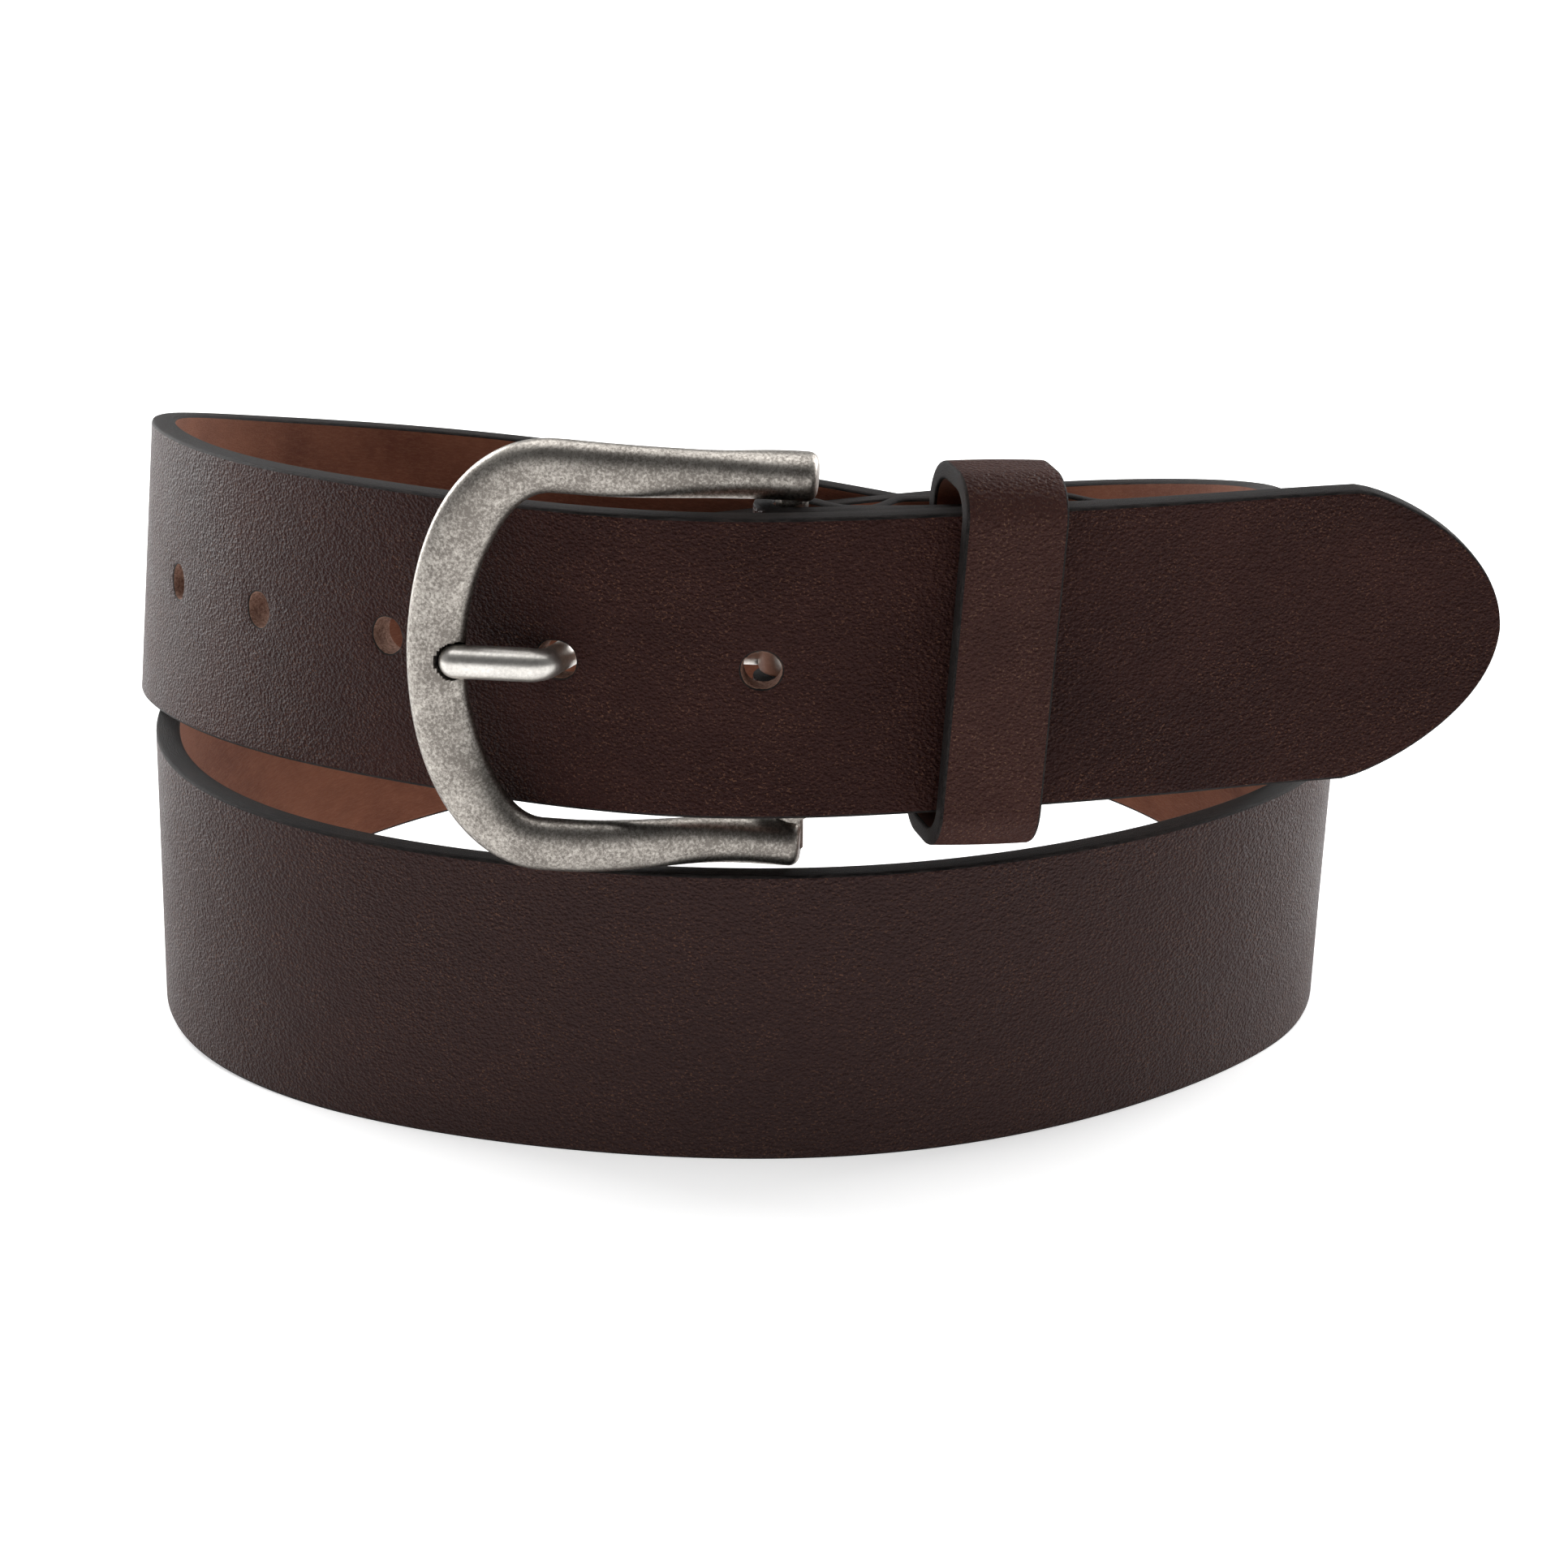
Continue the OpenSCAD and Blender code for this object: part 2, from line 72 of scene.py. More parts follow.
def route_at(t):
    """Uniform cubic B-spline through the padded route, at each t from 0 to SPANS."""
    t = np.atleast_1d(np.asarray(t, float))
    k = np.clip(np.floor(t).astype(int), 0, SPANS - 1)
    f = (t - k)[:, None]
    weights = (
        (1 - f) ** 3,
        3 * f**3 - 6 * f**2 + 4,
        -3 * f**3 + 3 * f**2 + 3 * f + 1,
        f**3,
    )
    return sum(w * PADDED[k + i] for i, w in enumerate(weights)) / 6


TABLE_T = np.linspace(0, SPANS, 4801)
TABLE_S = np.concatenate([
    [0], np.cumsum(np.linalg.norm(np.diff(route_at(TABLE_T)[:, :3], axis=0), axis=1))
])
LENGTH = TABLE_S[-1]

STRAP_W, STRAP_T, BEVEL = 38.1, 3.2, 0.4
SETTLE = 0.2  # how far the lower turn's edge has flattened on the surface
HALF_W, HALF_T = STRAP_W / 2, STRAP_T / 2


def axes(s):
    """Foot of the strap's middle line and its along, outward and upward axes, at lengths s in mm."""
    t = np.interp(s, TABLE_S, TABLE_T)
    p = route_at(t)
    d = (route_at(np.minimum(t + 0.01, SPANS)) - route_at(np.maximum(t - 0.01, 0)))[:, :2]
    d /= np.linalg.norm(d, axis=1)[:, None]
    lean = np.radians(p[:, 3])
    zero, one = np.zeros(len(t)), np.ones(len(t))
    side = np.stack([d[:, 1], -d[:, 0], zero], 1)
    along = np.stack([d[:, 0], d[:, 1], zero], 1)
    rise = np.stack([zero, zero, one], 1)
    sin, cos = np.sin(lean)[:, None], np.cos(lean)[:, None]
    foot = p[:, :3] + rise * (HALF_T * np.abs(sin) - SETTLE)
    return foot, along, side * cos - rise * sin, side * sin + rise * cos


def ease(f):
    c = np.clip(f, 0, 1)
    return c * c * (3 - 2 * c)


# ---------------------------------------------------------------- sizes shared with the CAD
HOLE_D, PITCH, LAST_HOLE = 4.6, 25.4, 95.25
TIP_LEN, TIP_POWER = 19.6, 1.33
HOLES = [LENGTH - LAST_HOLE - PITCH * (4 - i) for i in range(5)]
PRONG_HOLE = 3
SLACK_TIP, SLACK_FAR = 0.5, 0.2
FOLD_T, TAB_T, TAB_W, TAB_LEN = 2.4, 2.0, 37.0, 43.5
BAR_BACK, FOLD_R = 3.15, 2.35
FOLD_ARC = math.pi * (FOLD_R + FOLD_T / 2)
TAB_NEAR, TAB_FAR = HALF_T + 0.1 + TAB_T / 2, 6.7
SLOT_HALF, SLOT_LEN = 3.0, 7.0
SKIVE = 10.0
HINGE_S = 953.5
JOIN_S = 943.0


# ---------------------------------------------------------------- mesh and material helpers
def new_object(name, verts, faces, materials, face_slots=None, scale=MM):
    """A mesh object from points in mm, riding on nothing yet."""
    mesh = bpy.data.meshes.new(name)
    mesh.from_pydata((np.asarray(verts, float) * scale).tolist(), [], [list(f) for f in faces])
    for m in materials:
        mesh.materials.append(m)
    if face_slots is not None:
        mesh.polygons.foreach_set("material_index", np.asarray(face_slots, np.int32))
    mesh.polygons.foreach_set("use_smooth", [True] * len(mesh.polygons))
    mesh.validate()
    mesh.update()
    obj = bpy.data.objects.new(name, mesh)
    bpy.context.scene.collection.objects.link(obj)
    return obj


def add_field(obj, name, values):
    """Stores a vector on each vertex for the materials to read."""
    a = obj.data.attributes.new(name, "FLOAT_VECTOR", "POINT")
    a.data.foreach_set("vector", np.asarray(values, np.float32).ravel())


def tidy_normals(obj, angle=50):
    """Turns every face outward and keeps edges sharper than the angle crisp."""
    bm = bmesh.new()
    bm.from_mesh(obj.data)
    bmesh.ops.recalc_face_normals(bm, faces=bm.faces)
    bm.to_mesh(obj.data)
    bm.free()
    obj.data.set_sharp_from_angle(angle=math.radians(angle))


class Nodes:
    """A small builder for one material's node tree."""

    def __init__(self, name):
        self.material = bpy.data.materials.new(name)
        self.material.use_nodes = True
        self.tree = self.material.node_tree
        self.shader = self.tree.nodes["Principled BSDF"]

    def add(self, kind, **values):
        node = self.tree.nodes.new(kind)
        for key, value in values.items():
            if hasattr(node, key):
                setattr(node, key, value)
            else:
                node.inputs[key.replace("_", " ")].default_value = value
        return node

    def link(self, a, b):
        self.tree.links.new(a, b)

    def coords(self, scale=(1, 1, 1), rotation=0.0, field=None):
        """Texture coordinates: the piece's own stored field, or its object space."""
        if field:
            source = self.add("ShaderNodeAttribute", attribute_name=field).outputs["Vector"]
        else:
            source = self.add("ShaderNodeTexCoord").outputs["Object"]
        mapping = self.add("ShaderNodeMapping")
        mapping.inputs["Scale"].default_value = scale
        mapping.inputs["Rotation"].default_value = (0, 0, rotation)
        self.link(source, mapping.inputs["Vector"])
        return mapping.outputs["Vector"]

    def noise(self, vector, scale, detail=4.0, rough=0.55, distortion=0.0):
        n = self.add("ShaderNodeTexNoise")
        n.inputs["Scale"].default_value = scale
        n.inputs["Detail"].default_value = detail
        n.inputs["Roughness"].default_value = rough
        n.inputs["Distortion"].default_value = distortion
        self.link(vector, n.inputs["Vector"])
        return n.outputs["Fac"]

    def cells(self, vector, scale, feature="SMOOTH_F1", smooth=0.4):
        n = self.add("ShaderNodeTexVoronoi", feature=feature)
        n.inputs["Scale"].default_value = scale
        if feature == "SMOOTH_F1":
            n.inputs["Smoothness"].default_value = smooth
        self.link(vector, n.inputs["Vector"])
        return n.outputs["Distance"]

    def remap(self, value, low, high, to_low=0.0, to_high=1.0):
        n = self.add("ShaderNodeMapRange")
        for key, v in zip(("From Min", "From Max", "To Min", "To Max"), (low, high, to_low, to_high)):
            n.inputs[key].default_value = v
        self.link(value, n.inputs["Value"])
        return n.outputs["Result"]

    def math(self, operation, a, b):
        n = self.add("ShaderNodeMath", operation=operation)
        for socket, v in zip(n.inputs, (a, b)):
            if isinstance(v, (int, float)):
                socket.default_value = v
            else:
                self.link(v, socket)
        return n.outputs["Value"]

    def mix(self, factor, a, b):
        n = self.add("ShaderNodeMix", data_type="RGBA")
        for socket, v in zip((n.inputs[0], n.inputs[6], n.inputs[7]), (factor, a, b)):
            if isinstance(v, (int, float)):
                socket.default_value = v
            elif isinstance(v, tuple):
                socket.default_value = (*v, 1)
            else:
                self.link(v, socket)
        return n.outputs[2]

    def bump(self, height, distance, strength=1.0, before=None):
        n = self.add("ShaderNodeBump")
        n.inputs["Strength"].default_value = strength
        n.inputs["Distance"].default_value = distance
        self.link(height, n.inputs["Height"])
        if before is not None:
            self.link(before, n.inputs["Normal"])
        return n.outputs["Normal"]

    def finish(self, color, roughness, normal=None, **constants):
        self.link(color, self.shader.inputs["Base Color"])
        self.link(roughness, self.shader.inputs["Roughness"])
        if normal is not None:
            self.link(normal, self.shader.inputs["Normal"])
        for key, value in constants.items():
            self.shader.inputs[key.replace("_", " ")].default_value = value
        return self.material


# Features per metre of the leather's grain: pebbles, the small ones between them, pores, creases,
# pale flecks, the patches they gather in, and clouds of tone
PEBBLES, SMALL_PEBBLES, PORES, CREASES, FLECKS, PATCHES, CLOUDS = 1900, 3400, 5200, 420, 2600, 150, 38
# The lower turn is painted lighter and greyer than the rest, as painted floor light and painted sheen:
# where that starts and ends along the strap, and how gradually, in metres
PAINTED_FLOOR_LIGHT_FROM, PAINTED_FLOOR_LIGHT_TO, PAINTED_FLOOR_LIGHT_FADE = 0.24, 0.62, 0.06
PAINTED_FLOOR_LIGHT_TONE = (0.046, 0.027, 0.0255)


def grain_leather(name, dark, light, fleck, rough, amount):
    """Top-grain leather: fine pebbled grain that runs slightly aslant, with pale flecks of wear."""
    n = Nodes(name)
    sheared = n.coords((1, 1.35, 1), 0.45, "strap_place")
    plain = n.coords((1, 1, 1), 0.0, "strap_place")
    pebble = n.cells(sheared, PEBBLES, smooth=0.3)
    small = n.cells(sheared, SMALL_PEBBLES, smooth=0.5)
    pores = n.noise(plain, PORES, 2, 0.6)
    crease = n.noise(sheared, CREASES, 5, 0.65, 0.8)
    broad = n.noise(plain, CLOUDS, 4, 0.6)
    height = n.math("ADD", n.math("MULTIPLY", pebble, 1.0), n.math("MULTIPLY", small, 0.45))
    height = n.math("ADD", height, n.math("MULTIPLY", crease, 0.5))
    height = n.math("ADD", height, n.math("MULTIPLY", pores, 0.25))
    normal = n.bump(height, 0.00030, 0.85)
    tone = n.mix(n.remap(broad, 0.35, 0.68), dark, light)
    run = n.add("ShaderNodeSeparateXYZ")
    n.link(plain, run.inputs["Vector"])
    # Painted light: the lower turn's tone is mixed toward a lighter, greyer colour that stands for light
    # from the floor and sheen
    painted_floor_light = n.math("MULTIPLY", n.remap(run.outputs["X"], PAINTED_FLOOR_LIGHT_FROM, PAINTED_FLOOR_LIGHT_FROM + PAINTED_FLOOR_LIGHT_FADE),
                  n.remap(run.outputs["X"], PAINTED_FLOOR_LIGHT_TO, PAINTED_FLOOR_LIGHT_TO + PAINTED_FLOOR_LIGHT_FADE, 1.0, 0.0))
    tone = n.mix(n.math("MULTIPLY", painted_floor_light, 0.7), tone, PAINTED_FLOOR_LIGHT_TONE)
    specks = n.math("MULTIPLY", n.remap(n.noise(sheared, FLECKS, 3, 0.7), 0.56, 0.65),
                    n.remap(n.noise(plain, PATCHES, 4, 0.6), 0.25, 0.65))
    tone = n.mix(n.math("MULTIPLY", specks, amount), tone, fleck)
    roughness = n.remap(n.math("ADD", n.math("MULTIPLY", broad, 0.6), n.math("MULTIPLY", crease, 0.4)),
                        0.3, 0.7, rough - 0.07, rough + 0.1)
    return n.finish(tone, roughness, normal, Specular_IOR_Level=0.06)


def suede_leather(name):
    """The flesh side: brown, mottled, with a short nap."""
    n = Nodes(name)
    place = n.coords((1, 1, 1), 0.3, "strap_place")
    broad = n.noise(place, 55, 6, 0.65, 0.4)
    nap = n.noise(n.coords((1, 3, 1), 0.5, "strap_place"), 2600, 4, 0.7)
    fibre = n.noise(n.coords((1, 4, 1), -0.3, "strap_place"), 900, 5, 0.7, 0.8)
    tone = n.mix(n.remap(broad, 0.32, 0.7), (0.125, 0.042, 0.024), (0.225, 0.086, 0.048))
    tone = n.mix(n.remap(fibre, 0.45, 0.75, 0, 0.5), tone, (0.30, 0.135, 0.080))
    height = n.math("ADD", nap, fibre)
    return n.finish(tone, n.remap(nap, 0.3, 0.7, 0.8, 0.97), n.bump(height, 0.00022, 0.7),
                    Specular_IOR_Level=0.15, Sheen_Weight=0.08, Sheen_Roughness=0.5)


def edge_leather(name):
    """Cut edges: dyed black over layered fibres."""
    n = Nodes(name)
    place = n.coords((1, 1, 1), 0.0, "strap_place")
    fibres = n.noise(n.coords((0.35, 1, 5), 0.0, "strap_place"), 1500, 5, 0.7, 0.5)
    broad = n.noise(place, 90, 4, 0.6)
    tone = n.mix(n.remap(fibres, 0.4, 0.72), (0.006, 0.005, 0.005), (0.040, 0.033, 0.031))
    tone = n.mix(n.remap(broad, 0.55, 0.8, 0, 0.4), tone, (0.045, 0.028, 0.022))
    return n.finish(tone, n.remap(fibres, 0.3, 0.7, 0.48, 0.72), n.bump(fibres, 0.0003, 0.7),
                    Specular_IOR_Level=0.10)


def raw_leather(name):
    """Undyed fibre, where a hole is punched or the skived end is cut."""
    n = Nodes(name)
    fuzz = n.noise(n.coords((1, 1, 1)), 2600, 5, 0.75, 0.6)
    tone = n.mix(n.remap(fuzz, 0.35, 0.7), (0.13, 0.060, 0.042), (0.44, 0.265, 0.195))
    return n.finish(tone, n.remap(fuzz, 0.3, 0.7, 0.8, 0.98), n.bump(fuzz, 0.0005, 0.9),
                    Specular_IOR_Level=0.2)


def old_nickel(name, dark, bright, amount, rough):
    """Cast nickel with a dark, speckled patina, rubbed bright where the stored value is high: partly real
    wear and partly a painted highlight on the edges, while the patina left on the front faces is partly a
    painted dark reflection.
    """
    n = Nodes(name)
    place = n.coords()
    broad = n.noise(place, 190, 5, 0.62, 0.4)
    speck = n.noise(place, 2600, 4, 0.7, 0.3)
    scratch = n.noise(n.coords((1, 1, 0.12)), 2400, 3, 0.6)
    wear_and_highlight = n.add("ShaderNodeAttribute", attribute_name="wear_and_highlight").outputs["Vector"]
    patina = n.math("ADD", n.math("MULTIPLY", broad, 0.32), n.math("MULTIPLY", speck, 0.78))
    # Painted highlight in part: the stored value clears the patina on the edges, partly as real wear, partly
    # as a painted highlight
    patina = n.math("SUBTRACT", patina, n.math("MULTIPLY", wear_and_highlight, 0.30))
    cover = n.remap(patina, 0.30, 0.60, 0, amount)
    tone = n.mix(cover, bright, dark)
    roughness = n.math("ADD", n.remap(cover, 0, 1, rough, rough + 0.16),
                       n.remap(scratch, 0.3, 0.7, -0.04, 0.06))
    height = n.math("ADD", n.math("MULTIPLY", speck, 0.5), n.math("MULTIPLY", broad, 0.8))
    return n.finish(tone, roughness, n.bump(height, 0.00006, 0.25), Metallic=1.0)


def waxed_thread(name):
    """Dark twisted thread with a little wax on it."""
    n = Nodes(name)
    twist = n.noise(n.coords((1, 1, 3)), 3500, 3, 0.6)
    tone = n.mix(n.remap(twist, 0.35, 0.65), (0.016, 0.010, 0.009), (0.055, 0.036, 0.030))
    return n.finish(tone, n.remap(twist, 0.3, 0.7, 0.45, 0.7), n.bump(twist, 0.0002, 0.7))


GRAIN = grain_leather("strap_grain", (0.024, 0.0090, 0.0078), (0.038, 0.0150, 0.0128),
                      (0.17, 0.082, 0.050), 0.40, 0.6)
KEEPER_GRAIN = grain_leather("keeper_grain", (0.038, 0.0155, 0.013), (0.056, 0.024, 0.020),
                             (0.20, 0.11, 0.07), 0.42, 0.6)
FLESH = suede_leather("strap_flesh")
EDGE = edge_leather("strap_edge")
RAW = raw_leather("strap_raw")
NICKEL = old_nickel("buckle_nickel", (0.15, 0.133, 0.118), (0.64, 0.60, 0.545), 0.92, 0.28)
BRIGHT = old_nickel("prong_nickel", (0.40, 0.38, 0.35), (0.86, 0.83, 0.78), 0.5, 0.30)
THREAD = waxed_thread("thread_wax")

# ---------------------------------------------------------------- the strap
ROW_IN = 6.0
ROW_SPAN = HALF_W - BEVEL
FRACTIONS = np.concatenate([
    [-1, -0.975], np.linspace(-0.93, -ROW_IN / ROW_SPAN, 9)[:-1],
    np.linspace(-ROW_IN / ROW_SPAN, ROW_IN / ROW_SPAN, 9),
    np.linspace(ROW_IN / ROW_SPAN, 0.93, 9)[1:], [0.975, 1],
])
ROWS = len(FRACTIONS)
PATCH_LOW = int(np.argmin(np.abs(FRACTIONS + ROW_IN / ROW_SPAN)))
PATCH_HIGH = int(np.argmin(np.abs(FRACTIONS - ROW_IN / ROW_SPAN)))
SLOT_LOW = int(np.argmin(np.abs(FRACTIONS * ROW_SPAN + SLOT_HALF)))
SLOT_HIGH = int(np.argmin(np.abs(FRACTIONS * ROW_SPAN - SLOT_HALF)))
# Spacing of the rings along the strap, and finer round the fold
RING, FINE_RING = 1.6, 0.9
# Cells along each side of the square patch that holds a hole
HOLE_CELLS = 8
# Rings of the pointed tip, and what is left of its height at the very point
TIP_RINGS, POINT_LEFT = 22, 0.015
# Steps from that square to the hole's lip, the lip's width, and how far it is pressed in
PATCH_STEPS = (0.3, 0.55, 0.75, 0.9, 1.0)
LIP, LIP_SINK = 0.28, 0.10
# How far a round arris stands in from its corner, as a share of the bevel, and the edge's crown
ARRIS, EDGE_CROWN = 0.293, 0.04
# Material numbers of the strap's faces
ON_GRAIN, ON_FLESH, ON_EDGE, ON_RAW = range(4)


def half_height(q):
    """Half the strap's height: the pointed tip narrows it, and the skived tab is trimmed a little."""
    d = LENGTH - q
    tip = np.sqrt(np.maximum(1 - np.maximum(1 - d / TIP_LEN, 0) ** TIP_POWER, 0))
    tab = ease((-q - FOLD_ARC * 0.5) / 8) * (HALF_W - TAB_W / 2)
    return HALF_W * tip - tab


def tab_offset(s):
    """How far the turn-back's middle lies behind the strap's: close at both stitch rows, far at the
    fold and under the keeper."""
    near = TAB_FAR + (TAB_NEAR - TAB_FAR) * ease((s - 1) / 6)
    far = TAB_NEAR + (TAB_FAR - TAB_NEAR) * ease((s - 9.2) / 5)
    end = TAB_FAR + (TAB_NEAR - TAB_FAR) * ease((s - 34.4) / 5)
    return np.where(s < 10, near, np.where(s < 30, far, end))


def sheet(q):
    """For each place q along the leather: the point at mid-height, and the direction and offsets of
    its two faces. q counts from the fold: positive along the strap, negative round the heel bar and
    then along the turn-back."""
    q = np.asarray(q, float)
    s = np.where(q >= 0, q, np.maximum(-q - FOLD_ARC, 0))
    foot, along, out, up = axes(s)
    phi = np.clip(-q / FOLD_ARC, 0, 1) * math.pi
    folded = (q < 0) & (q > -FOLD_ARC)
    tab = q <= -FOLD_ARC
    direction = np.where(folded[:, None], out * np.cos(phi)[:, None] - along * np.sin(phi)[:, None],
                         np.where(tab[:, None], -out, out))
    base = foot + up * HALF_W
    base = np.where(folded[:, None], base - out * BAR_BACK, base)
    flesh_main = -HALF_T + (STRAP_T - FOLD_T) * np.clip(1 - s / SKIVE, 0, 1)
    half_tab = (FOLD_T + (TAB_T - FOLD_T) * ease(s / 8)) / 2
    grain = np.where(folded, FOLD_R + FOLD_T, np.where(tab, tab_offset(s) + half_tab, HALF_T))
    flesh = np.where(folded, FOLD_R, np.where(tab, tab_offset(s) - half_tab, flesh_main))
    return base, up, direction, grain, flesh


def stations(low, high):
    """Places of the rings: about RING apart, with a square patch of exact size round each hole."""
    marks = [low]
    for s in HOLES:
        if low < s - ROW_IN and s + ROW_IN < high:
            marks += [s - ROW_IN, s + ROW_IN]
    folds = (-FOLD_ARC - TAB_LEN, -FOLD_ARC - SLOT_LEN, -FOLD_ARC, 0.0, SLOT_LEN, LENGTH - TIP_LEN)
    marks = sorted(marks + [q for q in folds if low < q < high] + [high])
    out = []
    for a, b in zip(marks, marks[1:]):
        in_hole = any(abs(a - (s - ROW_IN)) < 1e-6 and abs(b - (s + ROW_IN)) < 1e-6 for s in HOLES)
        spacing = FINE_RING if b <= SLOT_LEN + 1e-6 else RING
        count = HOLE_CELLS if in_hole else max(1, round((b - a) / spacing))
        out += list(a + (b - a) * np.arange(count) / count)
    if high == LENGTH:
        out = [q for q in out if q < LENGTH - TIP_LEN - 1e-6]
        out += [LENGTH - max(POINT_LEFT, TIP_LEN * (1 - i / TIP_RINGS) ** 2) for i in range(TIP_RINGS + 1)]
    else:
        out.append(high)
    return np.array(out)


class Skin:
    """One closed length of the strap while its mesh is put together."""

    def __init__(self, low, high):
        self.low, self.high = low, high
        self.qs = stations(low, high)
        self.verts, self.place, self.faces, self.slots = [], [], [], []
        self.grid = {}

    def face(self, points, material):
        self.faces.append(points)
        self.slots.append(material)

    def lay_rings(self):
        """Points of both faces and both rounded edges at every station."""
        base, up, direction, grain, flesh = sheet(self.qs)
        half = half_height(self.qs)
        bevel = np.minimum(BEVEL, half / 2)

        def put(i, h, offset):
            self.verts.append(base[i] + up[i] * h + direction[i] * offset)
            self.place.append((self.qs[i] * MM, h * MM, offset * MM))
            return len(self.verts) - 1

        for i in range(len(self.qs)):
            c = min(bevel[i], (grain[i] - flesh[i]) / 3)
            for j, f in enumerate(FRACTIONS):
                h = f * (half[i] - bevel[i])
                self.grid["grain", i, j] = put(i, h, grain[i])
                self.grid["flesh", i, j] = put(i, h, flesh[i])
            edge = [
                (half[i] - ARRIS * bevel[i], grain[i] - ARRIS * c), (half[i], grain[i] - c),
                (half[i] + EDGE_CROWN, (grain[i] + flesh[i]) / 2), (half[i], flesh[i] + c),
                (half[i] - ARRIS * bevel[i], flesh[i] + ARRIS * c),
            ]
            for end, sign in (("top", 1), ("bottom", -1)):
                for k, (h, offset) in enumerate(edge):
                    self.grid[end, i, k] = put(i, sign * h, offset)

    def close_sides(self, skip):
        """The skin between the rings, but for the cells left open, and the two end caps."""
        ring = (
            [("grain", j) for j in range(ROWS)] + [("top", k) for k in range(5)]
            + [("flesh", j) for j in reversed(range(ROWS))] + [("bottom", k) for k in reversed(range(5))]
        )
        grid, last = self.grid, len(self.qs) - 1
        for i in range(last):
            for (ka, ja), (kb, jb) in zip(ring, ring[1:] + ring[:1]):
                if ka == kb and ka in ("grain", "flesh") and (i, min(ja, jb)) in skip:
                    continue
                material = ON_GRAIN if ka == kb == "grain" else ON_FLESH if ka == kb == "flesh" else ON_EDGE
                self.face([grid[ka, i, ja], grid[ka, i + 1, ja], grid[kb, i + 1, jb], grid[kb, i, jb]],
                          material)
        self.face([grid[k, 0, j] for k, j in ring], ON_RAW if self.low < 0 else ON_EDGE)
        self.face([grid[k, last, j] for k, j in ring][::-1], ON_EDGE)

    def wall(self, ends, flip):
        """A wall from the grain face to the flesh face between two points of the grid."""
        (i, j), (i2, j2) = ends
        grid = self.grid
        q = [grid["grain", i, j], grid["grain", i2, j2], grid["flesh", i2, j2], grid["flesh", i, j]]
        self.face(q if flip else q[::-1], ON_EDGE)

    def line_slot(self, a, b):
        """Walls of the prong's slot, from station a to station b."""
        for i in range(a, b):
            self.wall(((i, SLOT_LOW), (i + 1, SLOT_LOW)), False)
            self.wall(((i, SLOT_HIGH), (i + 1, SLOT_HIGH)), True)
        for j in range(SLOT_LOW, SLOT_HIGH):
            self.wall(((a, j), (a, j + 1)), True)
            self.wall(((b, j), (b, j + 1)), False)

    def punch(self, k, i0):
        """Hole k in its square patch, which starts at station i0: lips on both faces, and the wall."""
        border = (
            [(i, PATCH_LOW) for i in range(i0, i0 + HOLE_CELLS)]
            + [(i0 + HOLE_CELLS, j) for j in range(PATCH_LOW, PATCH_HIGH)]
            + [(i, PATCH_HIGH) for i in range(i0 + HOLE_CELLS, i0, -1)]
            + [(i0, j) for j in range(PATCH_HIGH, PATCH_LOW, -1)]
        )
        square = np.array([(self.qs[i] - HOLES[k], FRACTIONS[j] * ROW_SPAN) for i, j in border])
        angle = np.arctan2(square[:, 1], square[:, 0])
        slack_tip, slack_far = (SLACK_TIP, SLACK_FAR) if k == PRONG_HOLE else (0.12, 0.0)
        ragged = 0.05 * np.sin(angle * 5 + k * 1.7) + 0.03 * np.sin(angle * 11 + k)

        def outline(radius):
            x = radius * np.cos(angle) + np.where(np.cos(angle) > 0, slack_tip, -slack_far)
            return np.stack([x, radius * np.sin(angle)], 1)

        lip = outline(HOLE_D / 2 + LIP)
        shapes = [(square * (1 - f) + lip * f, LIP_SINK * ease((f - 0.5) * 2)) for f in PATCH_STEPS]
        shapes += [(outline(HOLE_D / 2 + 0.10 + ragged * 0.6), 0.20),
                   (outline(HOLE_D / 2 + ragged * 0.4), 0.42)]
        count = len(angle)
        inmost = {}
        for side, skin_slot in (("grain", ON_GRAIN), ("flesh", ON_FLESH)):
            materials = [skin_slot] * len(PATCH_STEPS) + [ON_EDGE, ON_RAW]
            outer = [self.grid[side, i, j] for i, j in border]
            for (shape, sink), material in zip(shapes, materials):
                place_q = HOLES[k] + shape[:, 0]
                base, up, direction, grain, flesh = sheet(place_q)
                offset = grain - sink if side == "grain" else flesh + sink * 0.6
                start = len(self.verts)
                self.verts.extend(base + up * shape[:, 1][:, None] + direction * offset[:, None])
                self.place.extend(np.stack([place_q * MM, shape[:, 1] * MM, offset * MM], 1))
                inner = list(range(start, start + count))
                for e in range(count):
                    q = [outer[e], outer[(e + 1) % count], inner[(e + 1) % count], inner[e]]
                    self.face(q[::-1] if side == "grain" else q, material)
                outer = inner
            inmost[side] = outer
        grain_loop, flesh_loop = inmost["grain"], inmost["flesh"]
        for e in range(count):
            after = (e + 1) % count
            self.face([flesh_loop[after], flesh_loop[e], grain_loop[e], grain_loop[after]], ON_RAW)


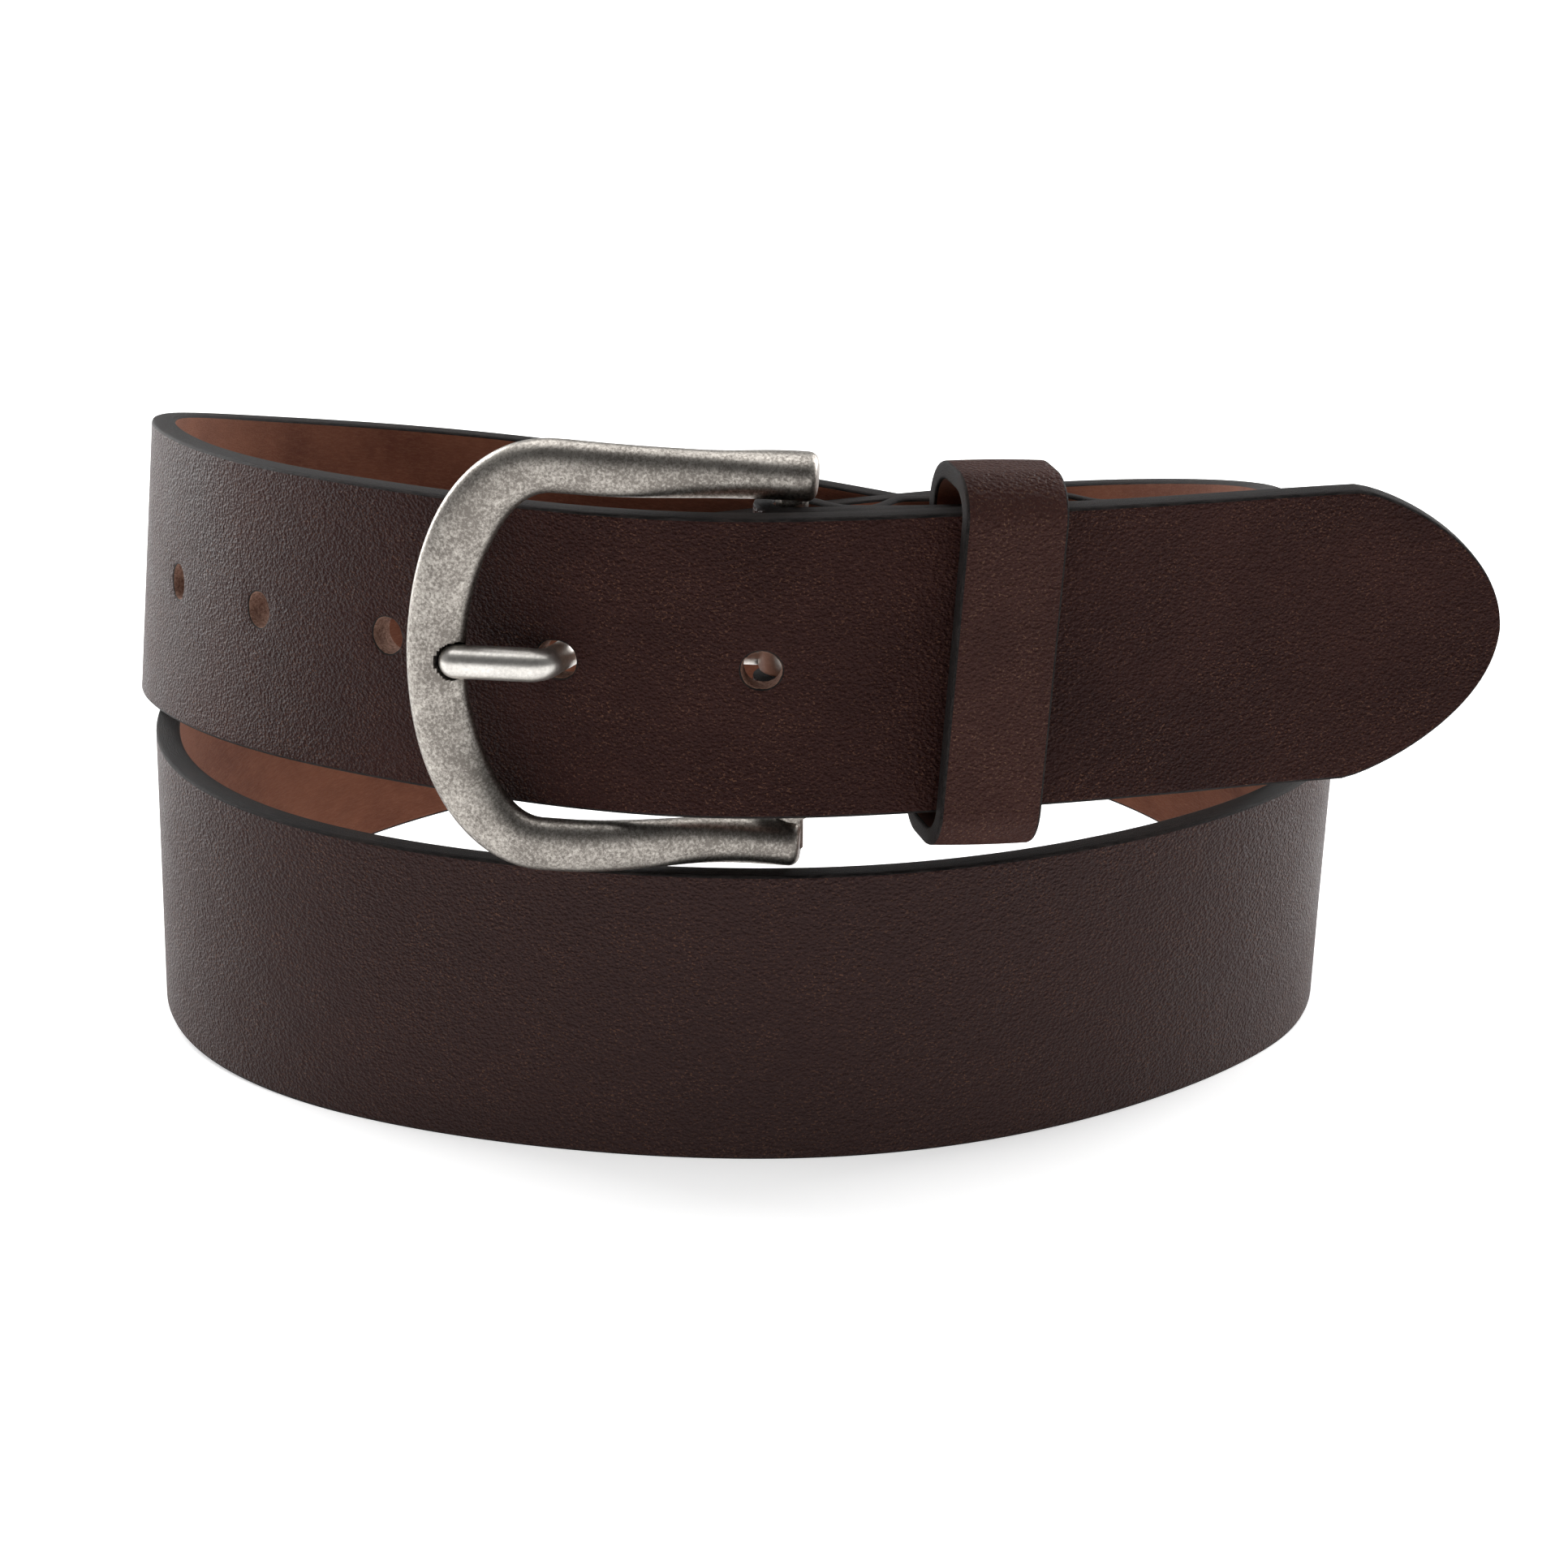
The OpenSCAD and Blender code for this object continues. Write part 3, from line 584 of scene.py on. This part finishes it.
def build_strap(name, low, high):
    """One closed length of the strap, from place low to place high, with its real holes."""
    skin = Skin(low, high)
    qs = skin.qs
    skin.lay_rings()
    holes_here = {k: int(np.argmin(np.abs(qs - (s - ROW_IN)))) for k, s in enumerate(HOLES)
                  if low < s - ROW_IN and s + ROW_IN < high}
    open_cells = {(i, j) for i0 in holes_here.values() for i in range(i0, i0 + HOLE_CELLS)
                  for j in range(PATCH_LOW, PATCH_HIGH)}
    slot = ()
    if low < 0:
        slot = (int(np.argmin(np.abs(qs + FOLD_ARC + SLOT_LEN))), int(np.argmin(np.abs(qs - SLOT_LEN))))
        open_cells |= {(i, j) for i in range(*slot) for j in range(SLOT_LOW, SLOT_HIGH)}
    skin.close_sides(open_cells)
    if slot:
        skin.line_slot(*slot)
    for k, i0 in holes_here.items():
        skin.punch(k, i0)
    verts = np.array(skin.verts)
    verts[:, 2] = np.maximum(verts[:, 2], 0.0)
    obj = new_object(name, verts, skin.faces, [GRAIN, FLESH, EDGE, RAW], skin.slots)
    add_field(obj, "strap_place", skin.place)
    tidy_normals(obj)
    return obj


strap = build_strap("leather_strap", -FOLD_ARC - TAB_LEN, JOIN_S)
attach(strap, "belt")
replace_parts(strap, *[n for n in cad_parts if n.startswith("strap_") and n != "strap_tip"], "turn_back")

tip = build_strap("leather_tip", JOIN_S, LENGTH)
tip_foot, _, _, tip_up = axes([HINGE_S - 2.5, HINGE_S + 6])
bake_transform(tip)
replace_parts(tip, "strap_tip")

# ---------------------------------------------------------------- the buckle's own axes
YAW, ROLL, DROP = math.radians(8), math.radians(2.4), 1.1
foot0, along0, out0, up0 = (v[0] for v in axes([0.0]))
BAR = foot0 - BAR_BACK * out0 + HALF_W * up0
BUCKLE_X = along0 * math.cos(YAW) + out0 * math.sin(YAW)
BUCKLE_W = out0 * math.cos(YAW) - along0 * math.sin(YAW)


def on_buckle(points):
    """Points as along, forward, up from the bar's middle, in mm, to the row frame."""
    p = np.asarray(points, float)
    return BAR + p[:, :1] * BUCKLE_X + p[:, 1:2] * BUCKLE_W + p[:, 2:3] * up0


def tube_faces(rings, sides):
    """Faces of a tube of rings laid one after another, with both ends closed."""
    faces = []
    for i in range(rings - 1):
        for j in range(sides):
            k = (j + 1) % sides
            faces.append([i * sides + j, i * sides + k, (i + 1) * sides + k, (i + 1) * sides + j])
    return faces + [list(range(sides))[::-1], list(range((rings - 1) * sides, rings * sides))]


# ---------------------------------------------------------------- the buckle's frame
INNER_H, RIM_REACH, RIM_W = 40.9, 46.9, 7.3
RIM_DEPTH, HEEL_DEPTH, ARM_TAIL, ARM_H = 4.4, 6.4, 2.2, 5.5
ARM_FLARE, END_R = 0.25, 1.3
ARM_Z, BEND_X, RIM_Z = INNER_H / 2, -29.3, 24.2
RIM_X = RIM_REACH - RIM_W / 2 + BEND_X
FRAME_SIDES, ARM_RINGS = 72, 40
hole_foot, _, _, hole_up = axes([HOLES[PRONG_HOLE]])
hole_vector = (hole_foot + hole_up * HALF_W)[0] - BAR
HOLE_MID = np.array([hole_vector @ BUCKLE_X, hole_vector @ BUCKLE_W, hole_vector @ up0])
PRONG_D, NECK_D, PRONG_REST = 4.2, 3.6, 6.2
PRONG_END = -RIM_REACH + RIM_W - 1
NOTCH_R = PRONG_D / 2 + 0.25
SOFT = 0.92  # exponent that squares the frame's section a little


def frame_line():
    """The frame's middle line from the upper arm's end, round the rim, to the lower arm's end:
    along, up, direction of the section's width in degrees, half width. The rings stand closer
    at the arms' rounded ends and across the notch."""
    def arm(x):
        flare = ARM_FLARE * ease((x + 12) / 12)
        return (
            x, ARM_Z + ARM_H / 2 + flare + (RIM_Z - ARM_Z - ARM_H / 2) * ease(x / BEND_X),
            90, ARM_H / 2 + flare + (RIM_W / 2 - 0.3 - ARM_H / 2) * ease(x / BEND_X),
        )

    corner = [ARM_TAIL - END_R * (1 - math.cos(math.radians(a))) for a in range(0, 90, 15)]
    straight = list(np.linspace(ARM_TAIL - END_R, BEND_X, ARM_RINGS + 1)[:-1])
    upper = [arm(x) for x in corner + straight]
    rim = []
    for a in sorted({*range(90, 271, 2), *np.arange(170, 190, 0.5)}):
        r = math.radians(a)
        rim.append((BEND_X + RIM_X * math.cos(r), RIM_Z * math.sin(r), a,
                    RIM_W / 2 - 0.3 * abs(math.sin(r)) + 0.5 * math.sin(2 * r) ** 2))
    return upper + rim + [(x, -z, 270, half) for x, z, _, half in reversed(upper)]


def end_corner(d):
    """How much the arm's section draws in at a distance d from its rounded end."""
    return 0.0 if d >= END_R else END_R - math.sqrt(END_R**2 - (END_R - d) ** 2)


def frame_forward(x):
    """How far in front of the bar the frame's middle lies: the arms rise, then the rim dips again."""
    return 0.3 + 5.7 * ease(-x / 26) if x > -30 else 6 - 1.3 * ease((-x - 30) / 14)


def build_frame():
    """The cast frame: a rounded section along its middle line, rolled, with the prong's notch."""
    points, wear_and_highlight = [], []
    rows = frame_line()
    for x, z, a, width in rows:
        forward = frame_forward(x)
        depth = RIM_DEPTH + (HEEL_DEPTH - RIM_DEPTH) * (1 - ease(-x / 12))
        inset = end_corner(ARM_TAIL - x)
        for j in range(FRAME_SIDES):
            b = 2 * math.pi * j / FRAME_SIDES
            c, s = math.cos(b), math.sin(b)
            r = (width - inset) * math.copysign(abs(c) ** SOFT, c)
            w = forward + (depth / 2 - inset) * math.copysign(abs(s) ** SOFT, s)
            px, pz = x + r * math.cos(math.radians(a)), z + r * math.sin(math.radians(a))
            px, pz = (px * math.cos(ROLL) + pz * math.sin(ROLL),
                      pz * math.cos(ROLL) - px * math.sin(ROLL) - DROP)
            reach = math.hypot(pz - HOLE_MID[2], min(px - PRONG_END, 0))
            if x < BEND_X and reach < NOTCH_R:
                w = min(w, PRONG_REST - math.sqrt(NOTCH_R**2 - reach**2))
            points.append((px, w, pz))
            # Stored value: high on the outward edge, less on the inward edge, nothing on the front faces;
            # partly real rubbed wear, partly a painted highlight on the edges and painted dark reflection on
            # the fronts
            wear_and_highlight.append((max(0.0, c) * 0.5 + max(0.0, abs(c) - 0.3) * 0.5, 0, 0))
    faces = tube_faces(len(rows), FRAME_SIDES)
    obj = new_object("buckle_frame_cast", on_buckle(points), faces, [NICKEL])
    add_field(obj, "wear_and_highlight", wear_and_highlight)
    tidy_normals(obj)
    return obj


buckle = build_frame()
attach(buckle, "buckle")
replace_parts(buckle, "buckle_frame")

# ---------------------------------------------------------------- the prong
LEAN = math.radians(20)
NECK = np.array([-math.sin(LEAN), math.cos(LEAN), 0])
NECK_BACK, NECK_FRONT = HOLE_MID - 5.9 * NECK, HOLE_MID + 4.3 * NECK
PRONG_TIP = np.array([PRONG_END, PRONG_REST, HOLE_MID[2]])
PRONG_ROOT = np.array([-2.0, -1.0, 0.0])
PRONG_SIDES, PRONG_BEND, BEND_STEPS = 28, 1.7, 8
# The prong's loop on the heel bar: inner and outer radius, half width, rings round it
LOOP_IN, LOOP_OUT, LOOP_HALF, LOOP_TURNS = 2.07, 4.1, 2.4, 64


def rounded(points, radii, cut, steps):
    """A line of points with its corners rounded, and a radius at each."""
    line = [(points[0], radii[0])]
    for a, b, c, r0, r1 in zip(points, points[1:], points[2:], radii, radii[1:]):
        start = b + (a - b) * min(0.5, cut / np.linalg.norm(a - b))
        end = b + (c - b) * min(0.5, cut / np.linalg.norm(c - b))
        for k in range(steps + 1):
            t = k / steps
            point = (1 - t) ** 2 * start + 2 * t * (1 - t) * b + t * t * end
            line.append((point, r0 + (r1 - r0) * t))
    line.append((points[-1], radii[-1]))
    return line


def prong_shank():
    """Rings of the prong's shank, neck and point, and how many there are."""
    half, neck = PRONG_D / 2, NECK_D / 2
    line = rounded([PRONG_ROOT, NECK_BACK, NECK_FRONT, PRONG_TIP], [half, neck, half, half],
                   PRONG_BEND, BEND_STEPS)
    last, before = line[-1][0], line[-2][0]
    forward = (last - before) / np.linalg.norm(last - before)
    for degrees in range(10, 90, 10):
        a = math.radians(degrees)
        line.append((last + forward * PRONG_D / 2 * math.sin(a), half * math.cos(a)))
    points = []
    for k, (p, r) in enumerate(line):
        v = line[min(k + 1, len(line) - 1)][0] - line[max(k - 1, 0)][0]
        v = v / np.linalg.norm(v)
        side = np.array([-v[1], v[0], 0]) / math.hypot(v[0], v[1])
        rise = np.cross(v, side)
        for j in range(PRONG_SIDES):
            b = 2 * math.pi * j / PRONG_SIDES
            points.append(p + r * (math.cos(b) * side + math.sin(b) * rise))
    return points, len(line)


def prong_loop(start):
    """Points and faces of the loop on the heel bar, a band with rounded edges; start is the number
    of its first point."""
    lo, hi, half = LOOP_IN, LOOP_OUT, LOOP_HALF
    edge = [(lo, half - 0.3), (lo + 0.3, half), (hi - 0.6, half), (hi - 0.15, half - 0.25), (hi, half - 0.8)]
    profile = [(r, -z) for r, z in edge] + edge[::-1]
    points, faces, m = [], [], len(profile)
    for i in range(LOOP_TURNS):
        a = 2 * math.pi * i / LOOP_TURNS
        points += [np.array([r * math.cos(a), r * math.sin(a), z]) for r, z in profile]
        ring, after = start + i * m, start + (i + 1) % LOOP_TURNS * m
        for j in range(m):
            k = (j + 1) % m
            faces.append([ring + j, after + j, after + k, ring + k])
    return points, faces


def build_prong():
    """The prong in one piece: the shank is rubbed bright, partly real wear and partly a painted highlight;
    the hidden loop is kept dark as painted shade.
    """
    points, rings = prong_shank()
    shank = len(points)
    loop_points, loop_faces = prong_loop(shank)
    points += loop_points
    faces = tube_faces(rings, PRONG_SIDES) + loop_faces
    obj = new_object("prong_pin", on_buckle(points), faces, [BRIGHT])
    # The shank's value brightens it, partly real wear and partly a painted highlight; the loop's zero keeps
    # it dark as painted shade over its glint
    add_field(obj, "wear_and_highlight", [(0.6 if k < shank else 0.0, 0, 0) for k in range(len(points))])
    tidy_normals(obj, 40)
    return obj


prong = build_prong()
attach(prong, "prong")
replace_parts(prong, "prong")

# ---------------------------------------------------------------- the keeper
KEEPER_S, KEEPER_W, KEEPER_T, KEEPER_TILT = 22.7, 13.0, 2.2, math.radians(3)
KEEPER_FRONT, KEEPER_BACK, KEEPER_LOW, KEEPER_HIGH, KEEPER_R = 6.2, -8.7, -3.6, 43.8, 5.6
PLY_PITCH = STRAP_T + 0.35
keeper_foot, keeper_along, keeper_out, keeper_up = (v[0] for v in axes([KEEPER_S]))
KEEPER_MID = keeper_foot + keeper_up * HALF_W
KEEPER_X = keeper_along * math.cos(KEEPER_TILT) - keeper_up * math.sin(KEEPER_TILT)
KEEPER_Z = keeper_up * math.cos(KEEPER_TILT) + keeper_along * math.sin(KEEPER_TILT)


def keeper_path():
    """Outline of the keeper's middle line as forward, height and outward normal, from seam to seam."""
    f0, f1 = KEEPER_BACK + KEEPER_T / 2, KEEPER_FRONT - KEEPER_T / 2
    z0, z1 = KEEPER_LOW + KEEPER_T / 2, KEEPER_HIGH - KEEPER_T / 2
    r = KEEPER_R - KEEPER_T / 2
    seam, rows = 0.15, []

    def line(a, b, normal, count):
        for k in range(count):
            t = k / count
            rows.append((a[0] + (b[0] - a[0]) * t, a[1] + (b[1] - a[1]) * t, *normal))

    def arc(cx, cz, start, count=12):
        for k in range(count):
            a = math.radians(start + 90 * k / count)
            rows.append((cx + r * math.cos(a), cz + r * math.sin(a), math.cos(a), math.sin(a)))

    line((f0, HALF_W - seam), (f0, z0 + r), (-1, 0), 16)
    arc(f0 + r, z0 + r, 180)
    line((f0 + r, z0), (f1 - r, z0), (0, -1), 4)
    arc(f1 - r, z0 + r, 270)
    line((f1, z0 + r), (f1, z1 - r), (1, 0), 34)
    arc(f1 - r, z1 - r, 0)
    line((f1 - r, z1), (f0 + r, z1), (0, 1), 4)
    arc(f0 + r, z1 - r, 90)
    line((f0, z1 - r), (f0, HALF_W + seam), (-1, 0), 16)
    rows.append((f0, HALF_W + seam, -1, 0))
    return rows


# Bevel and corner of the keeper's edges, the crown of its outer face, and the cells across a face
KEEPER_BEVEL, KEEPER_CORNER, KEEPER_CROWN, KEEPER_CELLS = 0.35, 0.1, 0.12, 10


def build_keeper():
    """The keeper's band swept along its path, with the seam at the back."""
    rows = keeper_path()
    half, t = KEEPER_W / 2, KEEPER_T / 2
    across = np.linspace(-half + KEEPER_BEVEL, half - KEEPER_BEVEL, KEEPER_CELLS + 1)
    edge = [(half - KEEPER_CORNER, t - KEEPER_CORNER), (half, t - KEEPER_BEVEL), (half, 0),
            (half, -t + KEEPER_BEVEL), (half - KEEPER_CORNER, -t + KEEPER_CORNER)]
    half_ring = [(x, t) for x in across] + edge
    ring = half_ring + [(-x, -z) for x, z in half_ring]
    points, place = [], []
    length = 0.0
    for k, (f, z, nf, nz) in enumerate(rows):
        if k:
            length += math.hypot(f - rows[k - 1][0], z - rows[k - 1][1])
        for x, off in ring:
            crown = KEEPER_CROWN * (1 - (x / half) ** 2) if off > 0 else 0.0
            forward, height = f + nf * (off + crown) + PLY_PITCH, z + nz * (off + crown) - HALF_W
            points.append(KEEPER_MID + KEEPER_X * x + keeper_out * forward + KEEPER_Z * height)
            place.append((x * MM, length * MM, off * MM))
    faces = tube_faces(len(rows), len(ring))
    outside, edge_slot, inside = 0, 1, 2
    edge_cells = [edge_slot] * (len(edge) + 1)
    kinds = [outside] * KEEPER_CELLS + edge_cells + [inside] * KEEPER_CELLS + edge_cells
    slots = kinds * (len(rows) - 1) + [edge_slot, edge_slot]
    obj = new_object("keeper_band", points, faces, [KEEPER_GRAIN, EDGE, FLESH], slots)
    add_field(obj, "strap_place", place)
    tidy_normals(obj)
    return obj


keeper = build_keeper()
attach(keeper, "keeper")
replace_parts(keeper, "keeper_loop")

# ---------------------------------------------------------------- stitching
THREAD_D, STITCH, STITCHES = 0.8, 4.0, 7
THREAD_SIDES, THREAD_RINGS = 12, 13
# Share of its pitch that a stitch fills, how far it leans along the strap, and its twist's depth
FILL, STITCH_LEAN, TWIST = 0.84, 0.14, 0.07


def build_stitches(name, s):
    """One row of waxed stitches through both plies: short bowed threads on each face."""
    foot, along, out, up = (v[0] for v in axes([s]))
    points, faces = [], []
    low = HALF_W - STITCH * STITCHES / 2
    for outside, face_offset in ((1, HALF_T), (-1, -(TAB_NEAR + TAB_T / 2))):
        for k in range(STITCHES):
            start = len(points)
            for i in range(THREAD_RINGS):
                t = i / (THREAD_RINGS - 1)
                z = low + STITCH * (k + (1 - FILL) / 2 + FILL * t)
                sink = -0.42 + 0.5 * math.sin(math.pi * t) ** 0.5
                r = THREAD_D / 2 * (0.55 + 0.45 * math.sin(math.pi * t) ** 0.4)
                lean = STITCH_LEAN * (t - 0.5)
                centre = foot + up * z + out * (face_offset + outside * min(sink, 0.0)) + along * lean
                for j in range(THREAD_SIDES):
                    a = 2 * math.pi * j / THREAD_SIDES
                    lump = 1 + TWIST * math.cos(2 * a + 22 * t)
                    points.append(centre + r * lump * (math.cos(a) * along + math.sin(a) * out))
            faces += [[start + v for v in f] for f in tube_faces(THREAD_RINGS, THREAD_SIDES)]
    obj = new_object(name, points, faces, [THREAD])
    tidy_normals(obj)
    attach(obj, "belt")
    return obj


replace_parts(build_stitches("stitches_bar_side", 8.5), "bar_side_stitching")
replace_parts(build_stitches("stitches_tab_end", 41.0), "tab_end_stitching")

# ---------------------------------------------------------------- CAD nodes that stay
for name, material in (("heel_bar", NICKEL), ("keeper_staple", BRIGHT)):
    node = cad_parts[name]
    node.data.materials.clear()
    node.data.materials.append(material)

# ---------------------------------------------------------------- floor, light and camera
FLOOR_HALF = 6  # metres


def floor_white():
    """A pale floor that glows a little, so that it stays white under the belt."""
    n = Nodes("floor_white")
    for key, value in (("Base Color", (0.9, 0.9, 0.9, 1)), ("Roughness", 0.9), ("Specular IOR Level", 0.0),
                       ("Emission Color", (1, 1, 1, 1)), ("Emission Strength", 0.52)):
        n.shader.inputs[key].default_value = value
    return n.material


corners = [(x * FLOOR_HALF, y * FLOOR_HALF, 0) for x, y in ((-1, -1), (1, -1), (1, 1), (-1, 1))]
floor = new_object("floor", corners, [(0, 1, 2, 3)], [floor_white()], scale=1)

scene = bpy.context.scene
# Strength of the studio's surroundings: dim in front, brighter above and behind
DIM, BRIGHT_SKY = 0.07, 0.46


def studio_world():
    """White surroundings that fade with direction alone."""
    world = bpy.data.worlds.new("studio")
    world.use_nodes = True
    tree = world.node_tree
    split = tree.nodes.new("ShaderNodeSeparateXYZ")
    tree.links.new(tree.nodes.new("ShaderNodeTexCoord").outputs["Generated"], split.inputs["Vector"])
    fade = tree.nodes.new("ShaderNodeMapRange")
    for key, value in zip(("From Min", "From Max", "To Min", "To Max"), (-0.75, 0.35, DIM, BRIGHT_SKY)):
        fade.inputs[key].default_value = value
    tree.links.new(split.outputs["Y"], fade.inputs["Value"])
    tree.nodes["Background"].inputs["Color"].default_value = (1, 1, 1, 1)
    tree.links.new(fade.outputs["Result"], tree.nodes["Background"].inputs["Strength"])
    return world


scene.world = studio_world()


def softbox(name, place, target, size, watts):
    """A rectangular area light, in metres and watts, that faces its target."""
    light = bpy.data.lights.new(name, "AREA")
    light.shape = "RECTANGLE"
    light.size, light.size_y = size
    light.energy = watts
    obj = bpy.data.objects.new(name, light)
    obj.location = place
    obj.rotation_euler = (Vector(target) - Vector(place)).to_track_quat("-Z", "Y").to_euler()
    scene.collection.objects.link(obj)


softbox("softbox_top", (0.0, 0.25, 1.9), (0, 0.1, 0.04), (2.4, 2.2), 27)
softbox("softbox_left", (-0.78, 0.70, 0.40), (0, 0, 0.04), (0.55, 0.8), 10.0)
softbox("softbox_right", (0.78, 0.70, 0.40), (0, 0, 0.04), (0.55, 0.8), 9.0)

CAMERA_AT, CAMERA_RANGE, CAMERA_RISE = Vector((0, 0.5, 32)) * MM, 0.700, math.radians(15)
camera_data = bpy.data.cameras.new("camera")
camera_data.sensor_width = 36
camera_data.lens = 36 * 6350 / 1932
camera = bpy.data.objects.new("camera", camera_data)
camera.location = CAMERA_AT + Vector((0, -math.cos(CAMERA_RISE), math.sin(CAMERA_RISE))) * CAMERA_RANGE
camera.rotation_euler = (CAMERA_AT - camera.location).to_track_quat("-Z", "Y").to_euler()
scene.collection.objects.link(camera)
scene.camera = camera
scene.view_settings.view_transform = "Standard"
